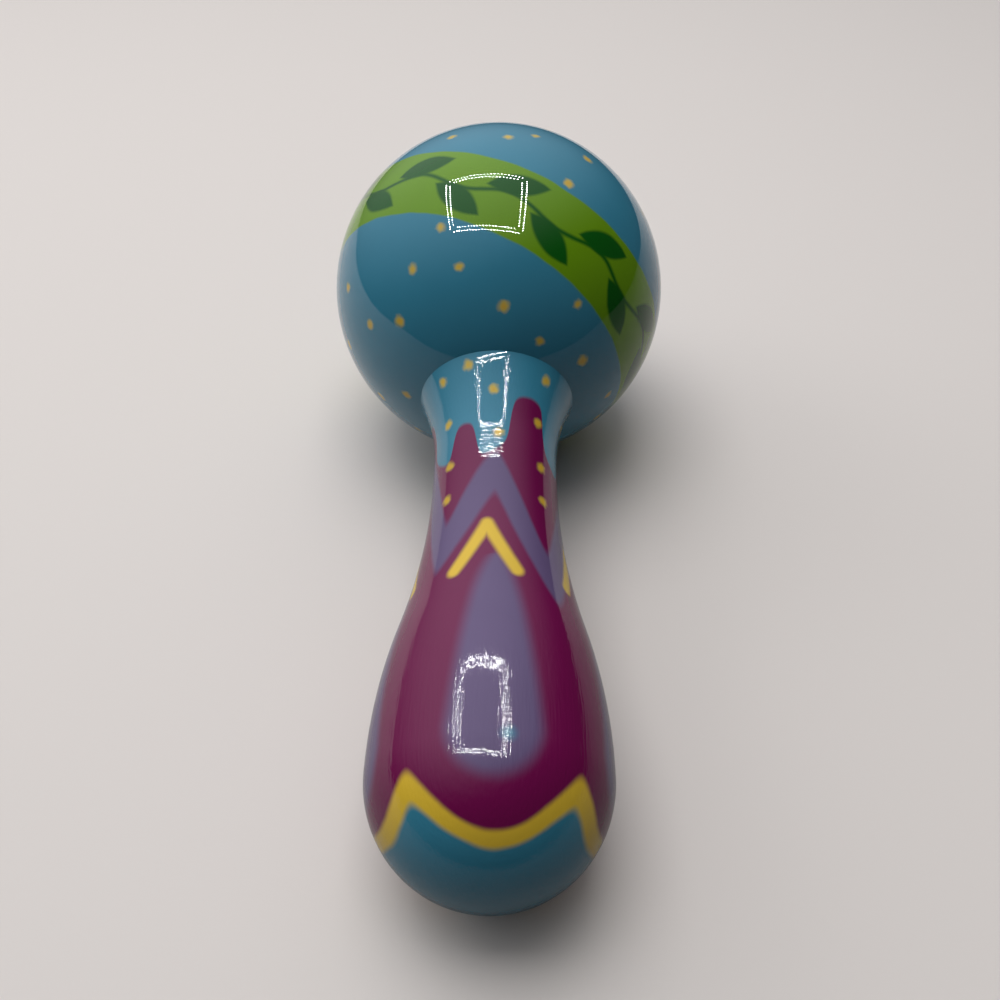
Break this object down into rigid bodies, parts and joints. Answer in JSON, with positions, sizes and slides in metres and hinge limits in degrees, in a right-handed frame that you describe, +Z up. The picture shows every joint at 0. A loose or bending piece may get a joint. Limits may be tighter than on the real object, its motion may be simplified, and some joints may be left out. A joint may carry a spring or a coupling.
{
  "type": "wooden maraca rattle",
  "caption": "Toddler's wooden maraca: a hollow painted ball on a turned, waisted handle with a round end, with loose steel pellets inside that rattle when it is shaken.",
  "frame": {"origin": "on the ground under the middle of the outline, as the maraca lies on its side", "axes": "+Z up; +Y from the handle towards the ball; the handle's axis lies in the plane x = 0 and falls 8.1 degrees from the ball to the handle's end"},
  "size_m": [0.06, 0.139, 0.06],
  "materials": {
    "head_paint": "turquoise paint with dots and a leaf belt under clear gloss lacquer",
    "handle_paint": "magenta paint with lilac and yellow ornament under clear gloss lacquer",
    "pellet_steel": "bright ball steel"
  },
  "bodies": {
    "rattle": {"head_front_shell": "head_paint", "head_rear_shell": "head_paint", "handle": "handle_paint"},
    "pellet_01": {"pellet_01": "pellet_steel"},
    "pellet_02": {"pellet_02": "pellet_steel"},
    "pellet_03": {"pellet_03": "pellet_steel"},
    "pellet_04": {"pellet_04": "pellet_steel"},
    "pellet_05": {"pellet_05": "pellet_steel"},
    "pellet_06": {"pellet_06": "pellet_steel"},
    "pellet_07": {"pellet_07": "pellet_steel"},
    "pellet_08": {"pellet_08": "pellet_steel"},
    "pellet_09": {"pellet_09": "pellet_steel"},
    "pellet_10": {"pellet_10": "pellet_steel"},
    "pellet_11": {"pellet_11": "pellet_steel"},
    "pellet_12": {"pellet_12": "pellet_steel"},
    "pellet_13": {"pellet_13": "pellet_steel"},
    "pellet_14": {"pellet_14": "pellet_steel"},
    "pellet_15": {"pellet_15": "pellet_steel"},
    "pellet_16": {"pellet_16": "pellet_steel"},
    "pellet_17": {"pellet_17": "pellet_steel"},
    "pellet_18": {"pellet_18": "pellet_steel"},
    "pellet_19": {"pellet_19": "pellet_steel"}
  },
  "joints": [
    {"name": "pellet_01_hop", "type": "slide", "parent": "rattle", "child": "pellet_01", "axis": [0, 0, 1], "range_m": [0, 0.0424]},
    {"name": "pellet_02_hop", "type": "slide", "parent": "rattle", "child": "pellet_02", "axis": [0, 0, 1], "range_m": [0, 0.041]},
    {"name": "pellet_03_hop", "type": "slide", "parent": "rattle", "child": "pellet_03", "axis": [0, 0, 1], "range_m": [0, 0.041]},
    {"name": "pellet_04_hop", "type": "slide", "parent": "rattle", "child": "pellet_04", "axis": [0, 0, 1], "range_m": [0, 0.041]},
    {"name": "pellet_05_hop", "type": "slide", "parent": "rattle", "child": "pellet_05", "axis": [0, 0, 1], "range_m": [0, 0.041]},
    {"name": "pellet_06_hop", "type": "slide", "parent": "rattle", "child": "pellet_06", "axis": [0, 0, 1], "range_m": [0, 0.041]},
    {"name": "pellet_07_hop", "type": "slide", "parent": "rattle", "child": "pellet_07", "axis": [0, 0, 1], "range_m": [0, 0.041]},
    {"name": "pellet_08_hop", "type": "slide", "parent": "rattle", "child": "pellet_08", "axis": [0, 0, 1], "range_m": [0, 0.03649]},
    {"name": "pellet_09_hop", "type": "slide", "parent": "rattle", "child": "pellet_09", "axis": [0, 0, 1], "range_m": [0, 0.03805]},
    {"name": "pellet_10_hop", "type": "slide", "parent": "rattle", "child": "pellet_10", "axis": [0, 0, 1], "range_m": [0, 0.03649]},
    {"name": "pellet_11_hop", "type": "slide", "parent": "rattle", "child": "pellet_11", "axis": [0, 0, 1], "range_m": [0, 0.03805]},
    {"name": "pellet_12_hop", "type": "slide", "parent": "rattle", "child": "pellet_12", "axis": [0, 0, 1], "range_m": [0, 0.03649]},
    {"name": "pellet_13_hop", "type": "slide", "parent": "rattle", "child": "pellet_13", "axis": [0, 0, 1], "range_m": [0, 0.03805]},
    {"name": "pellet_14_hop", "type": "slide", "parent": "rattle", "child": "pellet_14", "axis": [0, 0, 1], "range_m": [0, 0.03649]},
    {"name": "pellet_15_hop", "type": "slide", "parent": "rattle", "child": "pellet_15", "axis": [0, 0, 1], "range_m": [0, 0.03805]},
    {"name": "pellet_16_hop", "type": "slide", "parent": "rattle", "child": "pellet_16", "axis": [0, 0, 1], "range_m": [0, 0.03649]},
    {"name": "pellet_17_hop", "type": "slide", "parent": "rattle", "child": "pellet_17", "axis": [0, 0, 1], "range_m": [0, 0.03805]},
    {"name": "pellet_18_hop", "type": "slide", "parent": "rattle", "child": "pellet_18", "axis": [0, 0, 1], "range_m": [0, 0.03649]},
    {"name": "pellet_19_hop", "type": "slide", "parent": "rattle", "child": "pellet_19", "axis": [0, 0, 1], "range_m": [0, 0.03805]}
  ]
}
